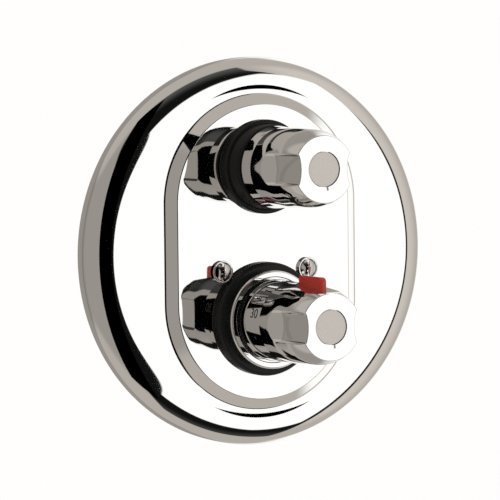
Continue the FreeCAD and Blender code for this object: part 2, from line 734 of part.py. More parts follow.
def knob_cap(face, axis_z):
    section = [(0.0, face - CAP_RECESS), (CAP_RADIUS, face - CAP_RECESS),
               (CAP_RADIUS, face - CAP_INSET), (0.0, face - CAP_INSET)]
    return turned(section, axis_z, {2: CAP_GAP})


def knob_screw(face, axis_z):
    seat = face - CAP_RECESS - HEAD_RECESS_DEPTH
    top = seat + KNOB_SCREW_HEAD_HEIGHT
    head = rod(KNOB_SCREW_HEAD, seat, top, axis_z)
    shank = rod(KNOB_SCREW_SHANK, top - KNOB_SCREW_LENGTH, seat, axis_z)
    socket = hexagon(2 * KNOB_SCREW_SOCKET, top - KNOB_SCREW_SOCKET, top + BEYOND, axis_z)
    return without(joined(head, shank), socket)


def adapter_front(face):
    return face - CAP_RECESS - HEAD_RECESS_DEPTH - KNOB_WEB


def spindle_front(face):
    return adapter_front(face) - ADAPTER_CAP


def spline_adapter(face, axis_z):
    """Insert with a flat outside and inside, which keys a knob to its spindle."""
    front = adapter_front(face)
    outside = flatted_rod(ADAPTER_RADIUS, ADAPTER_FLAT, KNOB_CAVITY_FRONT, front, axis_z)
    bore = flatted_rod(SPINDLE_RADIUS + RUNNING, SPINDLE_FLAT + RUNNING, KNOB_CAVITY_FRONT,
                       spindle_front(face), axis_z)
    hole = rod(KNOB_SCREW_SHANK + LOOSE, KNOB_CAVITY_FRONT, front, axis_z)
    return without(outside, bore, hole)


def safety_button():
    """Fin with a wider foot that keeps it in the knob."""
    bottom = LOWER_Z + BUTTON_BOTTOM
    top = LOWER_Z + BUTTON_TOP
    half = BUTTON_WIDTH / 2
    outline = [(BUTTON_BACK, bottom), (BUTTON_FRONT, bottom), (BUTTON_FRONT, top),
               (BUTTON_BACK, top)]
    places = [FreeCAD.Vector(-half, -out, height) for out, height in outline]
    edges = bent_outline(places, {2: BUTTON_NOSE, 3: BUTTON_BEND})
    fin = Part.Face(Part.Wire(edges)).extrude(RIGHT * BUTTON_WIDTH)
    rounded = [edge for edge in fin.Edges if edge.BoundBox.ZMin > bottom + 1e-3
               or edge.BoundBox.ZLength > BUTTON_TOP / 4]
    fin = fin.makeFillet(BUTTON_BEND, [edge for edge in rounded if edge.BoundBox.XLength < 1e-4])
    foot_half = BUTTON_FOOT_WIDTH / 2
    foot = block(-foot_half, foot_half, BUTTON_BACK, BUTTON_FRONT, bottom,
                 bottom + BUTTON_FOOT_HEIGHT)
    return joined(fin, foot)


def button_spring():
    base = FreeCAD.Vector(0, -(BUTTON_BACK + BUTTON_FRONT) / 2, LOWER_Z + BUTTON_SPRING_FLOOR)
    return coil_spring("button_spring", BUTTON_SPRING_RADIUS, BUTTON_SPRING_WIRE,
                       BUTTON_BOTTOM - BUTTON_SPRING_FLOOR, BUTTON_SPRING_CURLS, base, UP)


# ---------------------------------------------------------------- headwork, upper axis

def neck(axis_z):
    """Flange, hexagon and guide tube shared by the headwork and the cartridge nut."""
    flange_top = BODY_FRONT + FLANGE_HEIGHT
    flange = rod(SLEEVE_RADIUS - SLEEVE_WALL - SEATED, BODY_FRONT, flange_top, axis_z)
    nut = hexagon(HEX_SIZE, flange_top, flange_top + HEX_HEIGHT, axis_z)
    guide = rod(NECK_RADIUS, flange_top, NECK_TOP, axis_z)
    return joined(flange, nut, guide)


def headwork_bonnet():
    skirt = rod(HEADWORK_RADIUS, HEADWORK_SEAT + SEAT_SEAL_THICKNESS / 2, BODY_FRONT, UPPER_Z)
    cavity = rod(HEADWORK_CAVITY, HEADWORK_SEAT, HEADWORK_CEILING, UPPER_Z)
    bore = rod(SPINDLE_RADIUS + RUNNING, HEADWORK_CEILING, NECK_TOP, UPPER_Z)
    window = upright_rod(HEADWORK_WINDOW, UPPER_Z - HEADWORK_RADIUS - BEYOND,
                         UPPER_Z + HEADWORK_RADIUS + BEYOND,
                         HEADWORK_CEILING - HEADWORK_WINDOW - SEATED)
    return without(joined(skirt, neck(UPPER_Z)), cavity, bore, window)


def disc_floor():
    return HEADWORK_SEAT + SEAT_SEAL_THICKNESS


def headwork_seat_seal():
    return tube(DISC_RADIUS, SEAT_SEAL_BORE, HEADWORK_SEAT, disc_floor(), UPPER_Z)


def ceramic_disc(floor, upright):
    """Disc with two round ports, side by side or one above the other."""
    disc = rod(DISC_RADIUS, floor, floor + DISC_THICKNESS, UPPER_Z)
    ports = []
    for side in (-DISC_PORT_OFFSET, DISC_PORT_OFFSET):
        across = 0.0 if upright else side
        rise = side if upright else 0.0
        ports.append(rod(DISC_PORT, floor, floor + DISC_THICKNESS, UPPER_Z + rise, across))
    return without(disc, *ports)


def fixed_disc():
    return ceramic_disc(disc_floor(), False)


def rotating_floor():
    return disc_floor() + DISC_THICKNESS + RUNNING


def rotating_disc():
    disc = ceramic_disc(rotating_floor(), True)
    top = rotating_floor() + DISC_THICKNESS
    holes = []
    for side in (-DRIVE_PIN_OFFSET, DRIVE_PIN_OFFSET):
        holes.append(rod(DRIVE_PIN + RUNNING, top - DRIVE_PIN_DEPTH - RUNNING, top, UPPER_Z,
                         side))
    return without(disc, *holes)


def spindle_shaft(back, face, axis_z):
    """Round shaft with a flat, a screw hole and an O-ring groove."""
    front = spindle_front(face)
    shaft = rod(SPINDLE_RADIUS, back, front, axis_z)
    flat = block(SPINDLE_FLAT, SPINDLE_RADIUS + BEYOND, KNOB_CAVITY_FRONT, front,
                 axis_z - SPINDLE_RADIUS, axis_z + SPINDLE_RADIUS)
    hole = rod(KNOB_SCREW_SHANK + RUNNING, front - KNOB_SCREW_LENGTH, front, axis_z)
    groove = tube(SPINDLE_RADIUS + BEYOND, SHAFT_RING_GROOVE,
                  SHAFT_RING_OUT - SHAFT_RING_SECTION - SEATED,
                  SHAFT_RING_OUT + SHAFT_RING_SECTION + SEATED, axis_z)
    return without(shaft, flat, hole, groove)


def headwork_spindle():
    """Shaft with a bar-shaped foot and two pins that turn the ceramic disc."""
    floor = rotating_floor() + DISC_THICKNESS
    foot_top = HEADWORK_CEILING - LOOSE
    shaft = spindle_shaft(foot_top, UPPER_KNOB_FACE, UPPER_Z)
    foot = block(-FOOT_HALF_LENGTH, FOOT_HALF_LENGTH, floor, foot_top,
                 UPPER_Z - FOOT_HALF_WIDTH, UPPER_Z + FOOT_HALF_WIDTH)
    pins = []
    for side in (-DRIVE_PIN_OFFSET, DRIVE_PIN_OFFSET):
        pins.append(rod(DRIVE_PIN, floor - DRIVE_PIN_DEPTH, foot_top, UPPER_Z, side))
    return joined(shaft, foot, *pins)


def shaft_ring(axis_z):
    centre = SPINDLE_RADIUS - SHAFT_RING_SECTION + RUNNING / 2
    return o_ring(centre, SHAFT_RING_SECTION, SHAFT_RING_OUT, axis_z)


def flange_ring():
    centre = HEADWORK_RADIUS + RUNNING + FLANGE_RING_SECTION
    return o_ring(centre, FLANGE_RING_SECTION, BODY_FRONT - FLANGE_RING_SECTION - RUNNING,
                  UPPER_Z)


# ---------------------------------------------------------------- cartridge, lower axis

def keyways(reach, width, back, front):
    half = width / 2
    return block(-reach, reach, back, front, LOWER_Z - half, LOWER_Z + half)


def cartridge_nut():
    thread = rod(NUT_THREAD_RADIUS, CARTRIDGE_TOP, BODY_FRONT, LOWER_Z)
    inner_tube = rod(NUT_TUBE_RADIUS, NUT_TUBE_BACK, CARTRIDGE_TOP, LOWER_Z)
    cavity = rod(NUT_CAVITY, NUT_TUBE_BACK, NUT_CEILING, LOWER_Z)
    bore = rod(SPINDLE_RADIUS + RUNNING, NUT_CEILING, NECK_TOP, LOWER_Z)
    ways = keyways(KEY_REACH + LOOSE, KEY_WIDTH + 2 * LOOSE, NUT_TUBE_BACK, NUT_CEILING)
    return without(joined(thread, inner_tube, neck(LOWER_Z)), cavity, bore, ways)


def cartridge_housing():
    """Ported shell with three O-ring grooves and a floor for the return spring."""
    shell = rod(CARTRIDGE_RADIUS, CARTRIDGE_BACK, CARTRIDGE_TOP, LOWER_Z)
    cutters = [rod(CARTRIDGE_BORE, CARTRIDGE_BACK + CARTRIDGE_FLOOR, CARTRIDGE_TOP, LOWER_Z),
               rod(CARTRIDGE_FLOOR_HOLE, CARTRIDGE_BACK, CARTRIDGE_TOP, LOWER_Z)]
    half = HOUSING_RING_WIDTH / 2
    for out in HOUSING_RING_OUTS:
        cutters.append(tube(CARTRIDGE_RADIUS + BEYOND, HOUSING_RING_GROOVE, out - half,
                            out + half, LOWER_Z))
    span = CARTRIDGE_RADIUS + BEYOND
    for out, radius in ((COLD_OUT, SIDE_WINDOW), (HOT_OUT, SIDE_WINDOW),
                        (MIXED_OUT, MIXED_WINDOW)):
        cutters.append(side_rod(radius, -span, span, LOWER_Z, out))
        cutters.append(upright_rod(radius, LOWER_Z - span, LOWER_Z + span, out))
    return without(shell, *cutters)


def housing_rings():
    centre = HOUSING_RING_GROOVE + RUNNING / 2 + HOUSING_RING_SECTION
    rings = [o_ring(centre, HOUSING_RING_SECTION, out, LOWER_Z) for out in HOUSING_RING_OUTS]
    return Part.makeCompound(rings)


def temperature_spindle():
    shaft = spindle_shaft(SETTING_SPINDLE_BACK, LOWER_KNOB_FACE, LOWER_Z)
    top = NUT_CEILING - SEATED
    collar = rod(SETTING_COLLAR_RADIUS, top - SETTING_COLLAR_HEIGHT, top, LOWER_Z)
    return joined(shaft, collar)


def setting_nut():
    """Keyed nut on the spindle's thread, with a chamber for the overload spring."""
    nut = rod(SETTING_NUT_RADIUS, SETTING_NUT_BACK, SETTING_NUT_FRONT, LOWER_Z)
    keys = keyways(KEY_REACH, KEY_WIDTH, KEY_BACK, KEY_FRONT)
    thread = rod(SPINDLE_RADIUS + RUNNING, SETTING_NUT_BACK, SETTING_NUT_FRONT, LOWER_Z)
    chamber = rod(OVERLOAD_CHAMBER, SETTING_NUT_BACK, OVERLOAD_LEDGE, LOWER_Z)
    return without(joined(nut, keys), thread, chamber)


def overload_spring():
    base = FreeCAD.Vector(0, -STEM_HEAD_TOP, LOWER_Z)
    return coil_spring("overload_spring", OVERLOAD_SPRING_RADIUS, OVERLOAD_SPRING_WIRE,
                       OVERLOAD_LEDGE - STEM_HEAD_TOP, OVERLOAD_SPRING_CURLS, base, OUTWARD)


def wax_element():
    """Wax capsule with a flange that sits on the spool and a stem with a broad head."""
    flange_floor = ELEMENT_FLANGE_TOP - ELEMENT_FLANGE_HEIGHT
    capsule = rod(ELEMENT_RADIUS, ELEMENT_BACK, flange_floor, LOWER_Z)
    flange = rod(ELEMENT_FLANGE_RADIUS, flange_floor, ELEMENT_FLANGE_TOP, LOWER_Z)
    head = rod(STEM_HEAD_RADIUS, STEM_HEAD_TOP - STEM_HEAD_HEIGHT, STEM_HEAD_TOP, LOWER_Z)
    stem = rod(STEM_RADIUS, ELEMENT_FLANGE_TOP, STEM_HEAD_TOP, LOWER_Z)
    return joined(capsule, flange, head, stem)


def regulating_spool():
    """Sliding ring with a pierced web and a hub round the capsule."""
    web_top = ELEMENT_FLANGE_TOP - ELEMENT_FLANGE_HEIGHT
    web_floor = web_top - SPOOL_WEB
    ring = tube(CARTRIDGE_BORE - RUNNING, SPOOL_RING_BORE, SPOOL_BACK, SPOOL_FRONT, LOWER_Z)
    web = rod(SPOOL_RING_BORE + SEATED, web_floor, web_top, LOWER_Z)
    hub = rod(SPOOL_HUB_RADIUS, web_floor - SPOOL_WEB, web_top, LOWER_Z)
    bore = rod(ELEMENT_RADIUS + RUNNING, SPOOL_BACK, SPOOL_FRONT, LOWER_Z)
    hole_circle = (SPOOL_HUB_RADIUS + SPOOL_RING_BORE) / 2
    holes = []
    for index in range(8):
        angle = math.pi / 4 * index
        rise = hole_circle * math.sin(angle)
        holes.append(rod(SPOOL_HOLE, web_floor, web_top, LOWER_Z + rise,
                         hole_circle * math.cos(angle)))
    return without(joined(ring, web, hub), bore, *holes)


def return_spring():
    floor = CARTRIDGE_BACK + CARTRIDGE_FLOOR
    web_floor = ELEMENT_FLANGE_TOP - ELEMENT_FLANGE_HEIGHT - SPOOL_WEB
    base = FreeCAD.Vector(0, -floor, LOWER_Z)
    return coil_spring("return_spring", RETURN_SPRING_RADIUS, RETURN_SPRING_WIRE,
                       web_floor - floor, RETURN_SPRING_CURLS, base, OUTWARD)


# ---------------------------------------------------------------- brass body

def boss(radius, back, axis_z):
    section = [(0.0, back), (radius, back), (radius, BODY_FRONT), (0.0, BODY_FRONT)]
    return turned(section, axis_z, {1: BOSS_BEND, 2: BOSS_BEND / 2})


def inlet_arm(side):
    arm = side_rod(PORT_RADIUS, 0, side * INLET_END, LOWER_Z, INLET_OUT)
    rim = side_rod(PORT_RIM_RADIUS, side * (INLET_END - PORT_RIM_LENGTH), side * INLET_END,
                   LOWER_Z, INLET_OUT)
    return [arm, rim]


def outlet_arm():
    end = UPPER_Z + OUTLET_END
    arm = upright_rod(PORT_RADIUS, UPPER_Z, end, OUTLET_OUT)
    rim = upright_rod(PORT_RIM_RADIUS, end - PORT_RIM_LENGTH, end, OUTLET_OUT)
    return [arm, rim]


def crossbar():
    """Bar across the body's front that carries the posts and the fixing holes."""
    reach = CROSSBAR_HALF_WIDTH - CROSSBAR_HALF_HEIGHT
    bar = block(-reach, reach, CROSSBAR_BACK, BODY_FRONT, SCREW_Z - CROSSBAR_HALF_HEIGHT,
                SCREW_Z + CROSSBAR_HALF_HEIGHT)
    ends = []
    for side in (-reach, reach):
        ends.append(rod(CROSSBAR_HALF_HEIGHT, CROSSBAR_BACK, BODY_FRONT, SCREW_Z, side))
    return [bar] + ends


def inlet_cuts(side, window_out):
    passage_end = CARTRIDGE_RADIUS
    bore = side_rod(PORT_BORE, side * INLET_SHOULDER, side * INLET_END, LOWER_Z, INLET_OUT)
    mouth = side_rod(PIPE_RADIUS, side * (INLET_END - PIPE_DEPTH), side * (INLET_END + BEYOND),
                     LOWER_Z, INLET_OUT)
    narrow = side_rod(INLET_NARROW, side * INLET_BOTTOM, side * INLET_SHOULDER, LOWER_Z,
                      INLET_OUT)
    passage = side_rod(SIDE_WINDOW, side * passage_end, side * INLET_BOTTOM, LOWER_Z, window_out)
    return [bore, mouth, narrow, passage]


def cartridge_cuts():
    """Bore for the thermostatic cartridge with three ring channels and the mixed chamber."""
    bore = rod(CARTRIDGE_RADIUS + SEATED, CARTRIDGE_BACK, BODY_FRONT + BEYOND, LOWER_Z)
    thread = rod(NUT_THREAD_RADIUS + SEATED, CARTRIDGE_TOP, BODY_FRONT + BEYOND, LOWER_Z)
    cutters = [bore, thread]
    for out, window in ((COLD_OUT, SIDE_WINDOW), (HOT_OUT, SIDE_WINDOW),
                        (MIXED_OUT, MIXED_WINDOW)):
        cutters.append(rod(BODY_GROOVE, out - window, out + window, LOWER_Z))
    return cutters


def headwork_cuts():
    """Bore for the headwork, its ring channel, and the ways in from below and out on top."""
    bore = rod(HEADWORK_RADIUS + SEATED, HEADWORK_SEAT, BODY_FRONT + BEYOND, UPPER_Z)
    channel = rod(HEADWORK_GROOVE, HEADWORK_CEILING - 2 * HEADWORK_WINDOW - 2 * SEATED,
                  HEADWORK_CEILING, UPPER_Z)
    ring_seat = rod(HEADWORK_RADIUS + 2 * FLANGE_RING_SECTION + 2 * RUNNING,
                    BODY_FRONT - 2 * FLANGE_RING_SECTION - 2 * RUNNING, BODY_FRONT + BEYOND,
                    UPPER_Z)
    feed = rod(SEAT_SEAL_BORE - SEATED, MIXED_OUT - MIXED_PASSAGE, HEADWORK_SEAT, UPPER_Z)
    riser = upright_rod(MIXED_PASSAGE, LOWER_Z + CARTRIDGE_RADIUS, UPPER_Z, MIXED_OUT)
    passage = upright_rod(OUTLET_PASSAGE, UPPER_Z + HEADWORK_RADIUS, UPPER_Z + OUTLET_BOTTOM,
                          OUTLET_PASSAGE_OUT)
    outlet = upright_rod(PIPE_RADIUS, UPPER_Z + OUTLET_BOTTOM, UPPER_Z + OUTLET_END + BEYOND,
                         OUTLET_OUT)
    return [bore, channel, ring_seat, feed, riser, passage, outlet]


def valve_body():
    bridge = block(-BRIDGE_HALF_WIDTH, BRIDGE_HALF_WIDTH, BRIDGE_BACK, BRIDGE_FRONT, LOWER_Z,
                   UPPER_Z)
    parts = [boss(LOWER_BOSS_RADIUS, LOWER_BOSS_BACK, LOWER_Z), bridge]
    parts += inlet_arm(-1) + inlet_arm(1) + outlet_arm() + crossbar()
    outside = joined(boss(UPPER_BOSS_RADIUS, UPPER_BOSS_BACK, UPPER_Z), *parts)
    cutters = inlet_cuts(1, COLD_OUT) + inlet_cuts(-1, HOT_OUT)
    cutters += cartridge_cuts() + headwork_cuts()
    for side in (-1, 1):
        cutters.append(rod(POST_RADIUS + RUNNING, CROSSBAR_BACK - BEYOND, BODY_FRONT + BEYOND,
                           SCREW_Z, side * SCREW_SPACING / 2))
        cutters.append(rod(LUG_HOLE, CROSSBAR_BACK - BEYOND, BODY_FRONT + BEYOND, SCREW_Z,
                           side * LUG_SPACING / 2))
    return without(outside, *cutters)


# ---------------------------------------------------------------- inlet fittings

def check_guide(side):
    """Pierced plate on the inlet's shoulder that guides the poppet's stem."""
    start = side * INLET_SHOULDER
    end = side * (INLET_SHOULDER + GUIDE_THICKNESS)
    plate = side_tube(PORT_BORE - SEATED, POPPET_STEM + RUNNING, start, end, LOWER_Z, INLET_OUT)
    holes = []
    for index in range(6):
        angle = math.pi / 3 * index
        holes.append(side_rod(GUIDE_HOLE, start, end,
                              LOWER_Z + GUIDE_HOLE_OFFSET * math.sin(angle),
                              INLET_OUT + GUIDE_HOLE_OFFSET * math.cos(angle)))
    return without(plate, *holes)


def check_poppet(side):
    disc = side_rod(POPPET_RADIUS, side * POPPET_BACK, side * (POPPET_BACK + POPPET_THICKNESS),
                    LOWER_Z, INLET_OUT)
    stem = side_rod(POPPET_STEM, side * POPPET_STEM_END, side * POPPET_BACK, LOWER_Z, INLET_OUT)
    return joined(disc, stem)


def check_spring(side):
    start = INLET_SHOULDER + GUIDE_THICKNESS
    base = FreeCAD.Vector(side * start, -INLET_OUT, LOWER_Z)
    return coil_spring("check_spring", CHECK_SPRING_RADIUS, CHECK_SPRING_WIRE,
                       POPPET_BACK - start, CHECK_SPRING_CURLS, base, RIGHT * side)


def check_seat(side):
    return side_tube(PORT_BORE - SEATED, SEAT_BORE, side * SEAT_START, side * SEAT_END, LOWER_Z,
                     INLET_OUT)


def inlet_strainer(side):
    """Pierced thimble whose flange stops where the supply pipe ends."""
    inner = STRAINER_RADIUS - STRAINER_WALL
    thimble = side_rod(STRAINER_RADIUS, side * SEAT_END, side * STRAINER_END, LOWER_Z, INLET_OUT)
    flange = side_rod(PORT_BORE - SEATED, side * (STRAINER_END - STRAINER_FLANGE),
                      side * STRAINER_END, LOWER_Z, INLET_OUT)
    inside = side_rod(inner, side * (SEAT_END + STRAINER_WALL), side * STRAINER_END, LOWER_Z,
                      INLET_OUT)
    holes = [side_rod(STRAINER_HOLE * 2, side * SEAT_END, side * STRAINER_END, LOWER_Z, INLET_OUT)]
    spacing = (STRAINER_END - STRAINER_FLANGE - SEAT_END) / (STRAINER_ROWS + 1)
    for row in range(STRAINER_ROWS):
        across = side * (SEAT_END + spacing * (row + 1))
        for column in range(STRAINER_COLUMNS):
            angle = 2 * math.pi / STRAINER_COLUMNS * column
            way = FreeCAD.Vector(0, math.cos(angle), math.sin(angle))
            centre = FreeCAD.Vector(across, -INLET_OUT, LOWER_Z)
            holes.append(Part.makeCylinder(STRAINER_HOLE, PORT_BORE, centre, way))
    return without(joined(thimble, flange), inside, *holes)


# ---------------------------------------------------------------- all parts

def all_parts():
    parts = {
        "escutcheon_plate": escutcheon_plate(),
        "wall_gasket": wall_gasket(),
        "plate_screws": plate_screws(),
        "screw_cups": screw_cups(),
        "screw_posts": screw_posts(),
        "upper_seal_ring": upper_seal_ring(),
        "lower_seal_ring": lower_seal_ring(),
        "lower_collar_ring": lower_collar_ring(),
        "stop_ring": stop_ring(),
        "upper_sleeve": sleeve(UPPER_Z, UPPER_KNOB_BACK),
        "lower_sleeve": sleeve(LOWER_Z, LOWER_KNOB_BACK),
        "upper_knob": upper_knob(),
        "upper_knob_cap": knob_cap(UPPER_KNOB_FACE, UPPER_Z),
        "upper_knob_screw": knob_screw(UPPER_KNOB_FACE, UPPER_Z),
        "upper_adapter": spline_adapter(UPPER_KNOB_FACE, UPPER_Z),
        "lower_knob": lower_knob(),
        "lower_knob_cap": knob_cap(LOWER_KNOB_FACE, LOWER_Z),
        "lower_knob_screw": knob_screw(LOWER_KNOB_FACE, LOWER_Z),
        "lower_adapter": spline_adapter(LOWER_KNOB_FACE, LOWER_Z),
        "safety_button": safety_button(),
        "button_spring": button_spring(),
        "headwork_bonnet": headwork_bonnet(),
        "headwork_spindle": headwork_spindle(),
        "headwork_shaft_ring": shaft_ring(UPPER_Z),
        "headwork_flange_ring": flange_ring(),
        "rotating_disc": rotating_disc(),
        "fixed_disc": fixed_disc(),
        "headwork_seat_seal": headwork_seat_seal(),
        "cartridge_nut": cartridge_nut(),
        "cartridge_housing": cartridge_housing(),
        "housing_rings": housing_rings(),
        "temperature_spindle": temperature_spindle(),
        "temperature_shaft_ring": shaft_ring(LOWER_Z),
        "setting_nut": setting_nut(),
        "overload_spring": overload_spring(),
        "wax_element": wax_element(),
        "regulating_spool": regulating_spool(),
        "return_spring": return_spring(),
        "valve_body": valve_body(),
    }
    for supply, side in (("hot", -1), ("cold", 1)):
        parts[supply + "_check_guide"] = check_guide(side)
        parts[supply + "_check_poppet"] = check_poppet(side)
        parts[supply + "_check_spring"] = check_spring(side)
        parts[supply + "_check_seat"] = check_seat(side)
        parts[supply + "_strainer"] = inlet_strainer(side)
    return parts


os.makedirs("parts", exist_ok=True)
for node, shape in all_parts().items():
    print(node, shape.ShapeType, len(shape.Solids), shape.isValid(), round(shape.Volume, 1))
    shape.exportStep("parts/" + node + ".step")
for name, gap in spring_gaps.items():
    print(name, "least gap between curls", round(gap, 3))
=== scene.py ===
"""Thermostatic shower valve: dressed model, camera and studio. Metres, +Z up, front faces -Y."""
import json
import math

import bmesh
import bpy
from mathutils import Matrix, Vector


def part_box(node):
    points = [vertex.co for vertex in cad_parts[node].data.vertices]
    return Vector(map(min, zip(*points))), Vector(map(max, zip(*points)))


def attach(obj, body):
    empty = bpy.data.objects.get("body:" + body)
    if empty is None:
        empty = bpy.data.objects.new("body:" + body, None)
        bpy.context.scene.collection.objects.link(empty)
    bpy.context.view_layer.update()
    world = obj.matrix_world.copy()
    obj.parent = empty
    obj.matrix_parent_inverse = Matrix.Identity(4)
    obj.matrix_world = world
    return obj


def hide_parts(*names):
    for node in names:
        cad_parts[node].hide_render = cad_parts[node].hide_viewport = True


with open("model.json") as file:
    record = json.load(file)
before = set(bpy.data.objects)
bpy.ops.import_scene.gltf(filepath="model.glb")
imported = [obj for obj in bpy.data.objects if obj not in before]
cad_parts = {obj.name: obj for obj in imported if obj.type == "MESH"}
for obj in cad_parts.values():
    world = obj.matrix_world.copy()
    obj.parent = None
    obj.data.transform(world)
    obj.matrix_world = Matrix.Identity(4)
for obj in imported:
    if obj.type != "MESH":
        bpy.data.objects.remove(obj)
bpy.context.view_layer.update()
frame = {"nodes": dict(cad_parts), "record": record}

NODES = frame["nodes"]
MM = 0.001


def middle_height(node):
    low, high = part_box(node)
    return (low.z + high.z) / 2 / MM


def half_width(node):
    low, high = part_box(node)
    return (high.x - low.x) / 2 / MM


# Sizes and places of the CAD model that the pieces here follow, in millimetres
UPPER_Z = middle_height("upper_knob_cap")
LOWER_Z = middle_height("lower_knob_cap")
SCREW_HEAD_RADIUS = 4.7
SCREW_X = half_width("plate_screws") - SCREW_HEAD_RADIUS
SCREW_Z = middle_height("plate_screws")
PLATFORM_TOP = -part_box("escutcheon_plate")[0].y / MM

# Camera, in degrees, metres and pixels
CAMERA_AZIMUTH = -29.3
CAMERA_ELEVATION = 3.348
CAMERA_ROLL = -0.572
CAMERA_DISTANCE = 1.819
CAMERA_FOCAL_PIXELS = 3197.2
CAMERA_SHIFT_RIGHT = -0.0007
CAMERA_SHIFT_UP = 0.00033
CAMERA_SENSOR = 36.0
CAMERA_NEAR, CAMERA_FAR = 0.05, 50.0
FRAME_PIXELS = 500.0

# Plate, in millimetres
PLATE_RADIUS = 110.0
PLATE_SHEET = 1.5
RIM_WALL = 5.3
RIM_ROLL_RISE = 6.2
RIM_ROLL_RUN = 17.0
RIM_LEDGE = 1.0            # flat stretch inside the roll
PLATE_FACE = RIM_WALL + RIM_ROLL_RISE
PLATFORM_RADIUS = 61.3
PLATFORM_HALF = 28.0
PLATFORM_RUN = 6.0
PLATFORM_FOOT_BEND = 2.5
PLATFORM_TOP_BEND = 1.2
PLATFORM_APRON = 5.0       # flat stretch outside the platform's foot
PLATFORM_LEDGE = 3.0       # flat stretch from the slope to the edge of the top piece
PLATFORM_INNER = PLATFORM_RADIUS - PLATFORM_RUN - PLATFORM_LEDGE
HANDLE_HOLE = 22.6
SCREW_HOLE = 2.3
ARC_STEPS = 150
SIDE_STEPS = 44
ROLL_STEPS = 48
BEND_STEPS = 8
HOLE_STEPS = 96
SHARP_ANGLE = 35.0
WELD_METRES = 1e-7

# Studio as the chrome sees it: directions in degrees, azimuth from the front towards the left.
# White window
WINDOW_LEFT, WINDOW_RIGHT = -25.5, -41.0
WINDOW_TOP, WINDOW_BOTTOM = 17.0, -26.5
WINDOW_WHITE = 1.25
WINDOW_SOFT = 0.8
WINDOW_TOP_SOFT, WINDOW_BOTTOM_SOFT = 2.0, 1.4
WINDOW_WIDENING = 17.0     # how much further left it reaches above and below the frame's block
TOP_SLANT, BOTTOM_SLANT = 0.8, 0.35   # how its height shrinks towards the left
SLANT_START = -31.0
# Dark frame round the window, with a block whose tip cuts into the window's left side
FRAME_LEFT, FRAME_RIGHT = -4.0, -44.0
FRAME_TOP, FRAME_BOTTOM = 35.0, -42.5
FRAME_LEFT_SOFT, FRAME_RIGHT_SOFT = 2.5, 1.0
FRAME_TOP_SOFT, FRAME_BOTTOM_SOFT = 4.0, 2.0
FRAME_WIDENING = 14.0      # how much further left it reaches near its top
FRAME_WIDENING_RANGE = (2.0, 26.0)
FRAME_SHADE, FRAME_TOP_SHADE, FRAME_BOTTOM_SHADE = 0.007, 0.09, 0.05
FRAME_TOP_FADE = (18.0, 33.0)
FRAME_BOTTOM_FADE = (-30.0, -42.0)
BLOCK_AZIMUTH, BLOCK_HEIGHT = -29.0, -3.3
BLOCK_RISE, BLOCK_FALL = 1.0, 1.3     # how fast it widens upwards and downwards
BLOCK_SOFT = 3.0
# Walls: brightness, and the directions between which each one fades in
LEFT_SHADE, LEFT_BACK_SHADE, LEFT_BACK_FADE = 0.355, 0.2, (60.0, 150.0)
RIGHT_SHADE, RIGHT_FADE = 0.67, (-24.0, -40.0)
RIGHT_BACK_SHADE, RIGHT_BACK_FADE = 0.485, (-45.0, -75.0)
STEEP_SHADE, STEEP_FADE = 0.5, (26.0, 38.0)
BRIGHT_SHADE, BRIGHT_FADE, BRIGHT_HEIGHT_FADE = 1.2, (-76.0, -84.0), (62.0, 50.0)
BEHIND_SHADE, BEHIND_FADE = 0.33, (135.0, 155.0)
# Colours of these brightnesses, and what is seen by all but reflections
GREY_TINT = (1.0, 1.0, 0.985)
WARM_TINT = (1.04, 0.975, 0.9)
SURROUNDINGS = (1.0, 0.99, 0.985)

# Black card beside the camera's line, seen by the chrome alone, in millimetres
CARD_LEFT, CARD_RIGHT = -100.0, -46.0
CARD_BOTTOM, CARD_TOP = -150.0, 165.0
CARD_OUT = 131.0

# Floor, in millimetres
FLOOR_HEIGHT = -300.0
FLOOR_HALF = 1000.0

# Marks on the temperature handle: (numeral, degrees from the top towards the left), or a dot
DIAL_MARKS = (("38", 0.0), ("", 38.0), ("30", 76.3), ("", 110.7), ("20", 147.0))
DIAL_OUT = 41.5
DIAL_RADIUS = 22.66        # of the knob's cone at that distance from the wall, which falls by
DIAL_CONE_FALL, DIAL_CONE_LENGTH = 0.7, 19.5   # so much over so long a stretch
DIAL_TAPER = DIAL_CONE_FALL / DIAL_CONE_LENGTH
DIAL_HEIGHT = 5.5
DIAL_DOT = 0.9
DIAL_DOT_STEPS = 32
DIAL_SKIN = 0.06
DIAL_CUT = 0.4             # width of the strips that bend round the cone
DIAL_CUTS = 8              # cuts on each side of the middle one
FONT_PER_HEIGHT = 1.38     # size of the font for numerals of height 1


# ---------------------------------------------------------------- materials

def principled(name, color, metallic, roughness, **values):
    material = bpy.data.materials.new(name)
    material.use_nodes = True
    shader = material.node_tree.nodes["Principled BSDF"]
    shader.inputs["Base Color"].default_value = (*color, 1.0)
    shader.inputs["Metallic"].default_value = metallic
    shader.inputs["Roughness"].default_value = roughness
    for key, value in values.items():
        shader.inputs[key.replace("_", " ")].default_value = value
    return material


